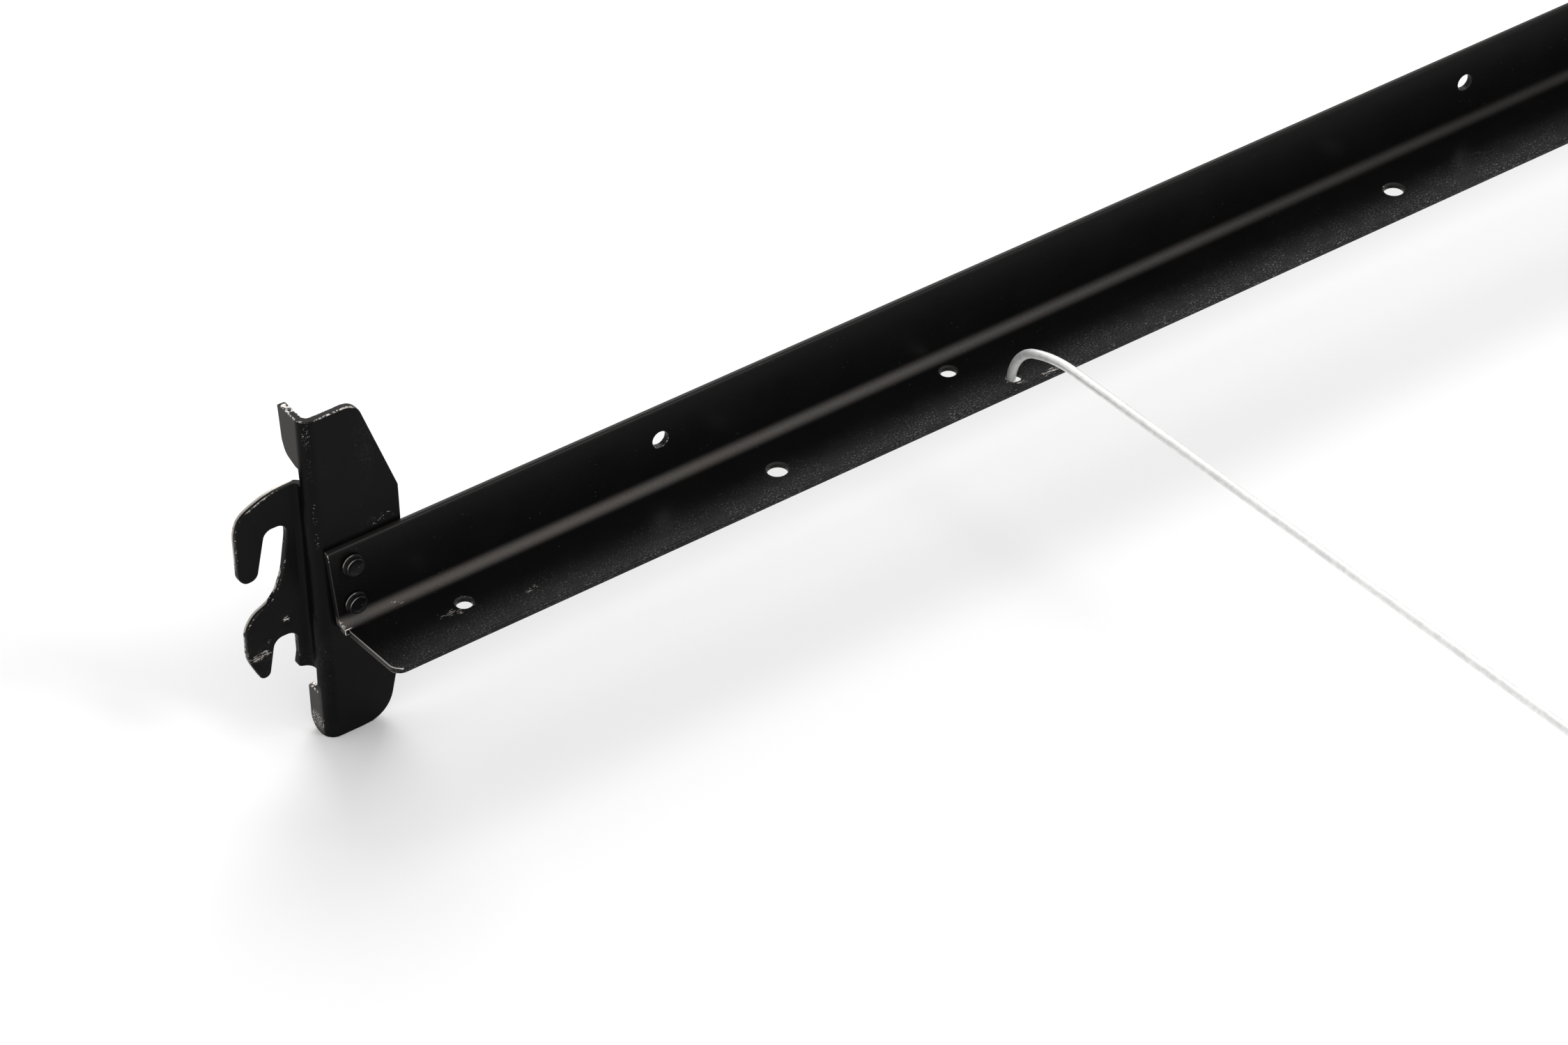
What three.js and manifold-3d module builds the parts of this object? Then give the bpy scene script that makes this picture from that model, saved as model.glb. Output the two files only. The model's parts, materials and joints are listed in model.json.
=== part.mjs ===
// Hook-on steel bed rail set: two angle-iron side rails, a riveted double-hook bracket at each
// rail end, and stiff cross wires hooked down through holes in the rails' ledges.
// Units are millimetres, +Z is up. X runs along the rails, Y across the bed.
// The origin is on the floor under the middle of the set, at the brackets' lowest edges.

import * as THREE from 'three';
import { mergeVertices } from 'three/addons/utils/BufferGeometryUtils.js';
import Module from 'manifold-3d';

const wasm = await Module();
wasm.setup();

// ---- Angle-iron rail ----
const RAIL_LENGTH = 1910;
const BED_WIDTH = 990; // between the outer faces of the two rails' upright legs
const LEG = 38.1; // 1 1/2 inch equal angle
const ANGLE_T = 2.7;
const ROOT_R = 3.5; // inside fillet
const TOE_R = 1.4; // rounded ends of the legs
const HEEL_R = 0.9; // outside corner
const END_LEAN = 3; // sheared upright leg: its foot is this much shorter than its top
const LEDGE_SETBACK = 4; // the ledge's sheared end, behind the upright leg's end
const LEDGE_CORNER_R = 5;

// Holes in the ledge: distance from the rail end, from the upright leg's outer face, and diameter.
// Each is repeated from the other end.
const LEDGE_HOLES = [
  { along: 48, across: 19, diameter: 6.6 },
  { along: 190, across: 23.3, diameter: 8.3 },
  { along: 280.5, across: 12.3, diameter: 6.6 },
  { along: 500, across: 22.5, diameter: 8.3 },
];
// Holes in the upright leg: distance from the rail end, height above the rail's underside.
const LEG_HOLES = [
  { along: 150, height: 23.2, diameter: 7.2 },
  { along: 553.5, height: 22.8, diameter: 7.2 },
];
// A shallow punch mark in the ledge, also repeated.
const LEDGE_DIMPLE = { along: 544, across: 24.2, diameter: 5, depth: 0.5 };
const HOLE_SIDES = 20;
const BURR = 0.45; // rounded rim of a punched hole, as a chamfer

// ---- Cross wires ----
const WIRE_D = 3.8;
const WIRE_HOLE_D = 6.8;
const WIRE_HOLE_BURR = 0.25;
const WIRE_HOLE_EDGE = 7.6; // hole centre to the ledge's free edge
const WIRE_ALONG = 299; // first wire hole to the rail end
const WIRE_SIT = 0.65; // the leg stands this far off its hole's centre, along the rail and across it
const WIRE_TAIL = 6.5; // leg below the middle of the ledge's thickness, along the leg
const WIRE_RISER = 0.4; // straight leg above it, before the bend
const WIRE_OVERBEND = THREE.MathUtils.degToRad(4); // the hooks are bent past a right angle
const WIRE_BEND_R = 17; // centreline radius of the hook's bend
const WIRE_EASE_R = 62; // and of its last part, where it eases into the long run
const WIRE_EASE = THREE.MathUtils.degToRad(22);
const WIRE_ROLL = THREE.MathUtils.degToRad(10); // the hooks' plane leans over in the loose holes
const RACK = THREE.MathUtils.degToRad(2.5); // how far the wires stand off square, as they lie
const WIRE_SIDES = 12;

// ---- Double-hook bracket, one stamping ----
const PLATE_T = 3;
const SEAT_GAP = 0.3; // between touching pieces
const BEND_R = 2.5; // inside radius of every bend
const LUG_FACE = -4.5; // outer face of the lugs, measured from the rail end
const WING_WIDTH = 34.4; // rail end to the wing's far edge
const WING_TOP = 99.2; // heights are above the rail's underside
const WING_BOTTOM = -52.8;
const WING_SHOULDER = 54; // top of the straight far edge
const WING_WAIST = -6; // bottom of it
const TOP_LUG_DEPTH = 17.4; // behind the rail's upright leg
const TOP_LUG_FOOT = 76.5;
const LOW_LUG_DEPTH = 12.9;
const LOW_LUG_HEAD = -32;
const TAB_TOP = 68;
const TAB_BOTTOM = -19;
const HOOK_REACH = 32.2; // rail end to the hooks' noses
const HOOK_PITCH = 51.9; // throat to throat
const THROAT_TOP = 51.4; // upper hook's throat
const THROAT_W = 9.5;
const THROAT_ROOT = 10.2; // rail end to the throats' near side
const UPPER_NOSE = 20; // hook nose below its throat
const LOWER_NOSE = 16;
const DIMPLE_D = 8;
const DIMPLE_DEPTH = 0.7;

// ---- Rivets ----
const RIVET_SHANK_D = 5;
const RIVET_HOLE_D = RIVET_SHANK_D + 2 * SEAT_GAP;
const RIVET_HEAD_D = 9.4;
const RIVET_HEAD_H = 3.1;
const RIVET_DISH = 0.6;
const RIVET_FLANGE = 1; // height of the wide base under the head's raised middle
const RIVET_TAIL_D = 8;
const RIVET_TAIL_H = 1.6;
const RIVET_ALONG = 10; // rail end to both rivets
const RIVET_HEIGHTS = [11.4, 29.5];
const RIVET_SIDES = 18;

const ARC_STEP = Math.PI / 18;
const OVERCUT = 1; // how far a cutting solid runs past what it cuts

// ---- Helpers: solids and booleans ----

function toSolid(geometry) {
  geometry.deleteAttribute('normal');
  geometry.deleteAttribute('uv');
  const merged = mergeVertices(geometry, 1e-4);
  const vertProperties = new Float32Array(merged.attributes.position.array);
  const triVerts = new Uint32Array(merged.index.array);
  return new wasm.Manifold(new wasm.Mesh({ numProp: 3, vertProperties, triVerts }));
}

function toGeometry(solid) {
  const mesh = solid.getMesh();
  const geometry = new THREE.BufferGeometry();
  geometry.setAttribute('position', new THREE.BufferAttribute(mesh.vertProperties, 3));
  geometry.setIndex(new THREE.BufferAttribute(mesh.triVerts, 1));
  geometry.computeVertexNormals();
  return geometry;
}

function extrude(points, depth) {
  return new THREE.ExtrudeGeometry(new THREE.Shape(points), { depth, bevelEnabled: false });
}

// An outline in X and Y, from one height to another.
function prismZ(points, low, high) {
  const geometry = extrude(points, high - low);
  geometry.translate(0, 0, low);
  return toSolid(geometry);
}

// An outline in X and Z, from one Y to another.
function prismY(points, low, high) {
  const geometry = extrude(points, high - low);
  geometry.rotateX(Math.PI / 2);
  geometry.translate(0, high, 0);
  return toSolid(geometry);
}

// An outline in Y and Z, from one X to another.
function prismX(points, low, high) {
  const geometry = extrude(points, high - low);
  const toYZ = new THREE.Matrix4().set(0, 0, 1, low, 1, 0, 0, 0, 0, 1, 0, 0, 0, 0, 0, 1);
  geometry.applyMatrix4(toYZ);
  return toSolid(geometry);
}

function arcPoints(centreX, centreY, radius, from, sweep) {
  const steps = Math.max(2, Math.ceil(Math.abs(sweep) / ARC_STEP));
  const points = [];
  for (let i = 0; i <= steps; i += 1) {
    const angle = from + (sweep * i) / steps;
    points.push(new THREE.Vector2(centreX + radius * Math.cos(angle), centreY + radius * Math.sin(angle)));
  }
  return points;
}

// A closed outline from corners [x, y, radius], each corner rounded to its radius.
function roundedOutline(corners) {
  const points = [];
  corners.forEach(([x, y, radius], i) => {
    const corner = new THREE.Vector2(x, y);
    if (radius === 0) {
      points.push(corner);
      return;
    }
    const [beforeX, beforeY] = corners[(i + corners.length - 1) % corners.length];
    const [afterX, afterY] = corners[(i + 1) % corners.length];
    const toBefore = new THREE.Vector2(beforeX, beforeY).sub(corner).normalize();
    const toAfter = new THREE.Vector2(afterX, afterY).sub(corner).normalize();
    const half = Math.acos(THREE.MathUtils.clamp(toBefore.dot(toAfter), -1, 1)) / 2;
    const start = corner.clone().addScaledVector(toBefore, radius / Math.tan(half));
    const middle = toBefore.clone().add(toAfter).normalize();
    const centre = corner.clone().addScaledVector(middle, radius / Math.sin(half));
    const turn = Math.sign(toBefore.cross(toAfter)) * -1;
    const from = Math.atan2(start.y - centre.y, start.x - centre.x);
    points.push(...arcPoints(centre.x, centre.y, radius, from, turn * (Math.PI - 2 * half)));
  });
  return points;
}

// The edge-on outline of a bent plate: a run of straights and bends along its middle line.
// A bend's angle is positive to the left of the way it runs.
function bentStrip(x, y, heading, moves, thickness) {
  const left = [];
  const right = [];
  const here = new THREE.Vector2(x, y);
  let way = heading;
  function mark() {
    const side = new THREE.Vector2(-Math.sin(way), Math.cos(way)).multiplyScalar(thickness / 2);
    left.push(here.clone().add(side));
    right.push(here.clone().sub(side));
  }
  mark();
  moves.forEach(({ run, bend, radius }) => {
    if (run !== undefined) {
      here.x += run * Math.cos(way);
      here.y += run * Math.sin(way);
      mark();
      return;
    }
    const sign = Math.sign(bend);
    const inward = new THREE.Vector2(-Math.sin(way), Math.cos(way)).multiplyScalar(sign * radius);
    const centre = here.clone().add(inward);
    const steps = Math.ceil(Math.abs(bend) / ARC_STEP);
    for (let i = 0; i < steps; i += 1) {
      way += bend / steps;
      here.x = centre.x + sign * radius * Math.sin(way);
      here.y = centre.y - sign * radius * Math.cos(way);
      mark();
    }
  });
  return [...left, ...right.reverse()];
}

// A punched hole down through a plate whose faces are at low and high, with broken rims.
function holeZ(x, y, diameter, burr, low, high) {
  const radius = diameter / 2;
  const wide = radius + burr;
  const profile = [
    [0, low - OVERCUT],
    [wide, low - OVERCUT],
    [wide, low],
    [radius, low + burr],
    [radius, high - burr],
    [wide, high],
    [wide, high + OVERCUT],
    [0, high + OVERCUT],
  ];
  const geometry = new THREE.LatheGeometry(profile.map(([r, z]) => new THREE.Vector2(r, z)), HOLE_SIDES);
  geometry.rotateX(Math.PI / 2);
  geometry.translate(x, y, 0);
  return toSolid(geometry);
}

// A ball that dents a face at z = 0, from above, to a depth.
function dishZ(diameter, depth, sides) {
  const rim = diameter / 2;
  const radius = (rim * rim + depth * depth) / (2 * depth);
  const geometry = new THREE.SphereGeometry(radius, sides, (sides * 2) / 3);
  geometry.translate(0, 0, radius - depth);
  return toSolid(geometry);
}

function holeY(x, z, diameter, low, high) {
  const length = high - low + 2 * OVERCUT;
  const geometry = new THREE.CylinderGeometry(diameter / 2, diameter / 2, length, HOLE_SIDES);
  geometry.translate(x, (low + high) / 2, z);
  return toSolid(geometry);
}

// Reflects a finished geometry end for end and keeps its faces pointing out.
function mirroredX(geometry) {
  const copy = geometry.clone();
  copy.scale(-1, 1, 1);
  const index = copy.getIndex().array;
  for (let i = 0; i < index.length; i += 3) {
    const second = index[i + 1];
    index[i + 1] = index[i + 2];
    index[i + 2] = second;
  }
  copy.computeVertexNormals();
  return copy;
}

// ---- Materials ----

function enamel() {
  return new THREE.MeshStandardMaterial({ color: 0x1b1a19, roughness: 0.38, metalness: 0.1 });
}

function zinc() {
  return new THREE.MeshStandardMaterial({ color: 0xc9cbcc, roughness: 0.3, metalness: 1 });
}

// ---- Rail: x = 0 at its left end, y = 0 at the upright leg's outer face, z = 0 underneath ----

function bothEnds(along) {
  return [along, RAIL_LENGTH - along];
}

const wireHoles = [WIRE_ALONG, RAIL_LENGTH / 2, RAIL_LENGTH - WIRE_ALONG];

function railSection() {
  return roundedOutline([
    [0, 0, HEEL_R],
    [0, LEG, 0.5],
    [-ANGLE_T, LEG, TOE_R],
    [-ANGLE_T, ANGLE_T, ROOT_R],
    [-LEG, ANGLE_T, TOE_R],
    [-LEG, 0, 0.5],
  ]);
}

// What the shear takes off one end of the bar.
function endTrim() {
  const upright = prismY(
    [
      new THREE.Vector2(-OVERCUT, -OVERCUT),
      new THREE.Vector2(END_LEAN, -OVERCUT),
      new THREE.Vector2(END_LEAN, 0),
      new THREE.Vector2(0, LEG),
      new THREE.Vector2(-OVERCUT, LEG),
    ],
    -LEG - OVERCUT,
    OVERCUT,
  );
  const reach = LEDGE_SETBACK + END_LEAN + LEDGE_CORNER_R;
  const keep = roundedOutline([
    [reach + OVERCUT, -LEG, 0],
    [LEDGE_SETBACK + END_LEAN / 2, -LEG, LEDGE_CORNER_R],
    [LEDGE_SETBACK, -ANGLE_T - ROOT_R, 1.5],
    [reach + OVERCUT, -ANGLE_T - ROOT_R, 0],
  ]);
  const slabTop = ANGLE_T + ROOT_R;
  const slab = prismZ(
    [
      new THREE.Vector2(-OVERCUT, -LEG - OVERCUT),
      new THREE.Vector2(reach, -LEG - OVERCUT),
      new THREE.Vector2(reach, -ANGLE_T - ROOT_R),
      new THREE.Vector2(-OVERCUT, -ANGLE_T - ROOT_R),
    ],
    -OVERCUT,
    slabTop,
  );
  const corner = slab.subtract(prismZ(keep, -2 * OVERCUT, slabTop + OVERCUT));
  return upright.add(corner);
}

function railGeometry() {
  let rail = prismX(railSection(), 0, RAIL_LENGTH);
  const trim = endTrim();
  const farTrim = toSolid(mirroredX(toGeometry(trim)).translate(RAIL_LENGTH, 0, 0));
  rail = rail.subtract(trim).subtract(farTrim);
  LEDGE_HOLES.forEach(({ along, across, diameter }) => {
    bothEnds(along).forEach((x) => {
      rail = rail.subtract(holeZ(x, -across, diameter, BURR, 0, ANGLE_T));
    });
  });
  const mark = dishZ(LEDGE_DIMPLE.diameter, LEDGE_DIMPLE.depth, 24);
  bothEnds(LEDGE_DIMPLE.along).forEach((x) => {
    rail = rail.subtract(mark.translate([x, -LEDGE_DIMPLE.across, ANGLE_T]));
  });
  wireHoles.forEach((x) => {
    rail = rail.subtract(holeZ(x, WIRE_HOLE_EDGE - LEG, WIRE_HOLE_D, WIRE_HOLE_BURR, 0, ANGLE_T));
  });
  LEG_HOLES.forEach(({ along, height, diameter }) => {
    bothEnds(along).forEach((x) => {
      rail = rail.subtract(holeY(x, height, diameter, -ANGLE_T, 0));
    });
  });
  bothEnds(RIVET_ALONG).forEach((x) => {
    RIVET_HEIGHTS.forEach((z) => {
      rail = rail.subtract(holeY(x, z, RIVET_HOLE_D, -ANGLE_T, 0));
    });
  });
  return toGeometry(rail);
}

// ---- Bracket for the rail's left end, in the rail's frame ----

const WING_FRONT = SEAT_GAP;
const WING_MIDDLE = WING_FRONT + PLATE_T / 2;
const WING_BACK = WING_FRONT + PLATE_T;
const BEND_MIDDLE_R = BEND_R + PLATE_T / 2;
const BEND_START = LUG_FACE + PLATE_T + BEND_R; // where the wing's flat ends
const HOOK_FRONT = WING_FRONT + 2 * BEND_MIDDLE_R;
const QUARTER = Math.PI / 2;

function lugProfile(depth) {
  const straight = depth - WING_MIDDLE - BEND_MIDDLE_R;
  return bentStrip(
    WING_WIDTH + OVERCUT,
    WING_MIDDLE,
    Math.PI,
    [
      { run: WING_WIDTH + OVERCUT - BEND_START },
      { bend: -QUARTER, radius: BEND_MIDDLE_R },
      { run: straight },
    ],
    PLATE_T,
  );
}

function tabProfile() {
  return bentStrip(
    WING_WIDTH + OVERCUT,
    WING_MIDDLE,
    Math.PI,
    [
      { run: WING_WIDTH + OVERCUT - BEND_START },
      { bend: -QUARTER, radius: BEND_MIDDLE_R },
      { bend: QUARTER, radius: BEND_MIDDLE_R },
      { run: HOOK_REACH },
    ],
    PLATE_T,
  );
}

// The wing seen square on, with its left edge left long for the bends.
function wingOutline() {
  const slope = (WING_TOP - WING_SHOULDER) * 0.338;
  return roundedOutline([
    [LUG_FACE - OVERCUT, WING_TOP, 0],
    [LUG_FACE - OVERCUT, WING_BOTTOM, 0],
    [WING_WIDTH * 0.66, WING_BOTTOM, 13],
    [WING_WIDTH, WING_WAIST, 20],
    [WING_WIDTH, WING_SHOULDER, 3],
    [WING_WIDTH - slope, WING_TOP, 8],
  ]);
}

// The tab and its two hooks seen square on. Noses point down and away from the rail.
function tabOutline() {
  const lowThroat = THROAT_TOP - HOOK_PITCH;
  const near = -THROAT_ROOT;
  const far = near - THROAT_W;
  const nose = -HOOK_REACH;
  return roundedOutline([
    [BEND_START + OVERCUT, TAB_TOP, 0],
    [nose + 15.5, TAB_TOP, 34],
    [nose + 2.4, TAB_TOP - 6.2, 9],
    [nose, TAB_TOP - 13, 14],
    [nose, THROAT_TOP - UPPER_NOSE + 2.4, 5],
    [nose + 2.9, THROAT_TOP - UPPER_NOSE - 0.5, 3.6],
    [far - 4.6, THROAT_TOP - UPPER_NOSE - 0.2, 3.6],
    [far + 0.2, THROAT_TOP, 4],
    [near, THROAT_TOP, 4],
    [near, THROAT_TOP - 6, 20],
    [near - 3, THROAT_TOP - 22.5, 24],
    [near - 6.4, THROAT_TOP - 30, 9],
    [near - 9.4, THROAT_TOP - 34, 12],
    [near - 17, THROAT_TOP - 37, 11],
    [nose + 1, lowThroat + 8.8, 9],
    [nose + 0.8, lowThroat - 5, 14],
    [nose + 5.8, lowThroat - LOWER_NOSE, 2.6],
    [far - 2.9, lowThroat - LOWER_NOSE, 2.4],
    [far + 0.4, lowThroat, 4.4],
    [near + 0.8, lowThroat, 4.4],
    [near + 0.8, lowThroat - 11.5, 4],
    [near - 0.4, TAB_BOTTOM + 1, 2],
    [BEND_START + OVERCUT, TAB_BOTTOM - 3.5, 0],
  ]);
}

// A lug seen along the rail: y is depth behind the rail, the corner away from the bend is rounded.
function topLugOutline() {
  return roundedOutline([
    [WING_FRONT - OVERCUT, WING_TOP, 0],
    [WING_FRONT - OVERCUT, TOP_LUG_FOOT - 1, 0],
    [WING_BACK + BEND_R + 2, TOP_LUG_FOOT - 1, 1.5],
    [TOP_LUG_DEPTH - 3, TOP_LUG_FOOT + 1.5, 5],
    [TOP_LUG_DEPTH - 0.8, TOP_LUG_FOOT + 7, 8],
    [TOP_LUG_DEPTH, WING_TOP, 0.8],
  ]);
}

function lowLugOutline() {
  return roundedOutline([
    [WING_FRONT - OVERCUT, LOW_LUG_HEAD, 0],
    [WING_FRONT - OVERCUT, WING_BOTTOM, 0],
    [LOW_LUG_DEPTH, WING_BOTTOM, 6],
    [LOW_LUG_DEPTH, LOW_LUG_HEAD, 1.2],
  ]);
}

// The round boss punched the other way leaves a shallow dish in the front of the tab.
function tabDimple() {
  const [x, z] = [-THROAT_ROOT - 3.4, THROAT_TOP - HOOK_PITCH + 7.6];
  const dish = dishZ(DIMPLE_D, DIMPLE_DEPTH, 48);
  return dish.rotate([90, 0, 0]).translate([x, HOOK_FRONT, z]);
}

function bracketGeometry() {
  const tall = [WING_BOTTOM - OVERCUT, WING_TOP + OVERCUT];
  const deep = [-OVERCUT, TOP_LUG_DEPTH + OVERCUT];
  const wingOnly = prismZ(
    [
      new THREE.Vector2(BEND_START, WING_FRONT),
      new THREE.Vector2(WING_WIDTH + OVERCUT, WING_FRONT),
      new THREE.Vector2(WING_WIDTH + OVERCUT, WING_BACK),
      new THREE.Vector2(BEND_START, WING_BACK),
    ],
    ...tall,
  );
  const wing = wingOnly.intersect(prismY(wingOutline(), ...deep));
  const lugSpan = [LUG_FACE - OVERCUT, BEND_START + OVERCUT];
  const topLug = prismZ(lugProfile(TOP_LUG_DEPTH), ...tall).intersect(prismX(topLugOutline(), ...lugSpan));
  const lowLug = prismZ(lugProfile(LOW_LUG_DEPTH), ...tall).intersect(prismX(lowLugOutline(), ...lugSpan));
  const bend = prismZ(lugProfile(WING_BACK + BEND_R), ...tall).intersect(
    prismY(wingOutline(), ...deep),
  );
  const tab = prismZ(tabProfile(), ...tall).intersect(prismY(tabOutline(), ...deep));
  let bracket = wing.add(topLug).add(lowLug).add(bend).add(tab).subtract(tabDimple());
  RIVET_HEIGHTS.forEach((z) => {
    bracket = bracket.subtract(holeY(RIVET_ALONG, z, RIVET_HOLE_D, WING_FRONT, WING_BACK));
  });
  return toGeometry(bracket);
}

// ---- Rivet: its axis is Y, head in front of the rail, tail behind the wing ----

function rivetGeometry() {
  const shank = RIVET_SHANK_D / 2;
  const head = RIVET_HEAD_D / 2;
  const tail = RIVET_TAIL_D / 2;
  const headSeat = ANGLE_T + SEAT_GAP;
  const headTop = headSeat + RIVET_HEAD_H;
  const tailSeat = -(WING_BACK + SEAT_GAP);
  const tailEnd = tailSeat - RIVET_TAIL_H;
  const profile = [
    [0, headTop - RIVET_DISH],
    [head * 0.6, headTop - RIVET_DISH],
    [head * 0.7, headTop],
    [head * 0.78, headTop],
    [head * 0.85, headTop - 0.5],
    [head * 0.87, headSeat + RIVET_FLANGE],
    [head - 0.2, headSeat + RIVET_FLANGE],
    [head, headSeat + RIVET_FLANGE - 0.3],
    [head, headSeat],
    [shank, headSeat],
    [shank, tailSeat],
    [tail, tailSeat],
    [tail * 0.86, tailSeat - RIVET_TAIL_H * 0.6],
    [tail * 0.5, tailEnd],
    [0, tailEnd],
  ].reverse();
  const outline = profile.map(([r, out]) => new THREE.Vector2(r, out));
  const geometry = new THREE.LatheGeometry(outline, RIVET_SIDES);
  geometry.rotateX(Math.PI);
  return toGeometry(toSolid(geometry));
}

// ---- Cross wire: from its first hook at the origin to its second, along +X, hooks down ----

class WirePath extends THREE.Curve {
  constructor(stations) {
    super();
    this.stations = stations;
  }

  getPoint(t, target = new THREE.Vector3()) {
    const at = t * (this.stations.length - 1);
    const i = Math.min(Math.floor(at), this.stations.length - 2);
    return target.lerpVectors(this.stations[i].point, this.stations[i + 1].point, at - i);
  }

  getTangent(t, target = new THREE.Vector3()) {
    const at = Math.round(t * (this.stations.length - 1));
    return target.copy(this.stations[at].tangent);
  }

  // Sections stand at the stations, not at equal lengths, so that the bends get most of them.
  getUtoTmapping(u) {
    return u;
  }
}

// One hook in its own plane, from the leg's tip to the start of the long run. The leg crosses the
// middle of the ledge's thickness at the origin.
function hookStations() {
  const sweep = QUARTER + WIRE_OVERBEND;
  const stations = [
    { x: -WIRE_TAIL * Math.cos(sweep), z: -WIRE_TAIL * Math.sin(sweep), angle: sweep },
    { x: WIRE_RISER * Math.cos(sweep), z: WIRE_RISER * Math.sin(sweep), angle: sweep },
  ];
  function bendBy(turn, radius, steps) {
    for (let i = 0; i < steps; i += 1) {
      const last = stations[stations.length - 1];
      const step = turn / steps;
      const chord = 2 * radius * Math.sin(step / 2);
      const way = last.angle - step / 2;
      stations.push({
        x: last.x + chord * Math.cos(way),
        z: last.z + chord * Math.sin(way),
        angle: last.angle - step,
      });
    }
  }
  bendBy(sweep - WIRE_EASE, WIRE_BEND_R, 7);
  bendBy(WIRE_EASE, WIRE_EASE_R, 4);
  return stations;
}

function wireStations(span) {
  const near = hookStations();
  const far = near.map(({ x, z, angle }) => ({ x: span - x, z, angle: -angle })).reverse();
  return [...near, ...far].map(({ x, z, angle }) => ({
    point: new THREE.Vector3(x, 0, z),
    tangent: new THREE.Vector3(Math.cos(angle), 0, Math.sin(angle)),
  }));
}

// The wires' legs to the set's centre line.
const LEG_LINE = BED_WIDTH / 2 - LEG + WIRE_HOLE_EDGE + WIRE_SIT;
const WIRE_SPAN = (2 * LEG_LINE) / Math.cos(RACK);

function wireGeometry() {
  const stations = wireStations(WIRE_SPAN);
  const radius = WIRE_D / 2;
  const ring = [];
  for (let i = 0; i < WIRE_SIDES; i += 1) {
    const angle = (2 * Math.PI * i) / WIRE_SIDES;
    ring.push(new THREE.Vector2(radius * Math.cos(angle), radius * Math.sin(angle)));
  }
  const geometry = new THREE.ExtrudeGeometry(new THREE.Shape(ring), {
    steps: stations.length - 1,
    extrudePath: new WirePath(stations),
    bevelEnabled: false,
  });
  return toGeometry(toSolid(geometry));
}

// ---- Assembly ----

function named(name, geometry, material) {
  const mesh = new THREE.Mesh(geometry, material);
  mesh.name = name;
  return mesh;
}

// How far each rail lies off centre along X.
const HALF_SHIFT = LEG_LINE * Math.tan(RACK) - WIRE_SIT;

function railGroup(suffix) {
  const group = new THREE.Group();
  const leftBracket = bracketGeometry();
  const rivet = rivetGeometry();
  group.add(named(`side_rail_${suffix}`, railGeometry(), enamel()));
  const ends = [
    { end: 'left', bracket: leftBracket, x: 0, rivetX: RIVET_ALONG },
    { end: 'right', bracket: mirroredX(leftBracket), x: RAIL_LENGTH, rivetX: RAIL_LENGTH - RIVET_ALONG },
  ];
  ends.forEach(({ end, bracket, x, rivetX }) => {
    const hook = named(`hook_bracket_${suffix}_${end}`, bracket, enamel());
    hook.position.x = x;
    group.add(hook);
    RIVET_HEIGHTS.forEach((z, i) => {
      const level = i === 0 ? 'lower' : 'upper';
      const piece = named(`rivet_${suffix}_${end}_${level}`, rivet.clone(), enamel());
      piece.position.set(rivetX, 0, z);
      group.add(piece);
    });
  });
  return group;
}

const bedRails = new THREE.Group();

// Rail A stands at +Y with its ledge towards the middle of the bed, rail B is turned to face it.
const railA = railGroup('a');
railA.position.set(-RAIL_LENGTH / 2 - HALF_SHIFT, BED_WIDTH / 2, -WING_BOTTOM);
bedRails.add(railA);

const railB = railGroup('b');
railB.rotation.z = Math.PI;
railB.position.set(RAIL_LENGTH / 2 + HALF_SHIFT, -BED_WIDTH / 2, -WING_BOTTOM);
bedRails.add(railB);

const wireNames = ['cross_wire_left', 'cross_wire_middle', 'cross_wire_right'];
wireHoles.forEach((along, i) => {
  const swing = new THREE.Group();
  const x = along - WIRE_SIT - RAIL_LENGTH / 2 - HALF_SHIFT;
  swing.position.set(x, LEG_LINE, ANGLE_T / 2 - WING_BOTTOM);
  swing.rotation.z = RACK - QUARTER;
  const wire = named(wireNames[i], wireGeometry(), zinc());
  wire.rotation.x = -WIRE_ROLL;
  swing.add(wire);
  bedRails.add(swing);
});

export default bedRails;
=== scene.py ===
"""Looks for a hook-on bed rail set: two black enamelled angle-iron rails, riveted hook brackets at
their ends and three bright zinc-plated cross wires. Lengths are in metres.
"""

import json
import math

import bmesh
import bpy
from mathutils import Matrix, Vector


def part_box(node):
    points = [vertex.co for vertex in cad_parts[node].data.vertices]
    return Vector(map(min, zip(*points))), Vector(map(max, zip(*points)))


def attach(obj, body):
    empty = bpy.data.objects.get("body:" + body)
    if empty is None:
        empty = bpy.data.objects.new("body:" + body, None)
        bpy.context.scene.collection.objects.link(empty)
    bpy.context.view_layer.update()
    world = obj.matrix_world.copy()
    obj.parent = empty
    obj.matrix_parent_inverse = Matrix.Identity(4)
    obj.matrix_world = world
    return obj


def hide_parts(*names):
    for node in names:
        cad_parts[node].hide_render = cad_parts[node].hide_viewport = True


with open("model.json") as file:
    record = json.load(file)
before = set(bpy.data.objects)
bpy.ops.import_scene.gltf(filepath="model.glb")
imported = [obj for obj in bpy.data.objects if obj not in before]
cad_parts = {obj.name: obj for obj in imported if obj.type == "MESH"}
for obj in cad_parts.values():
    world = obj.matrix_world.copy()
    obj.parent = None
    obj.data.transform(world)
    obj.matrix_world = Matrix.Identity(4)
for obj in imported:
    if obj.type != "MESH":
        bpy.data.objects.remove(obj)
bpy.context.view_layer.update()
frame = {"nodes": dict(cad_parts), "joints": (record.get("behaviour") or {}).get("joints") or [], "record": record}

MM = 0.001
ENDS = ("left", "right")
LEVELS = ("lower", "upper")
SIDE = {"left": 1.0, "right": -1.0}
SUFFIXES = ("a", "b")
NODES = frame["nodes"]
BODIES = {node: body for body, nodes in frame["record"]["behaviour"]["bodies"].items() for node in nodes}
JOINTS = {joint["name"]: joint for joint in frame["joints"]}

# ---- Sizes that the parts share ----

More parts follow.
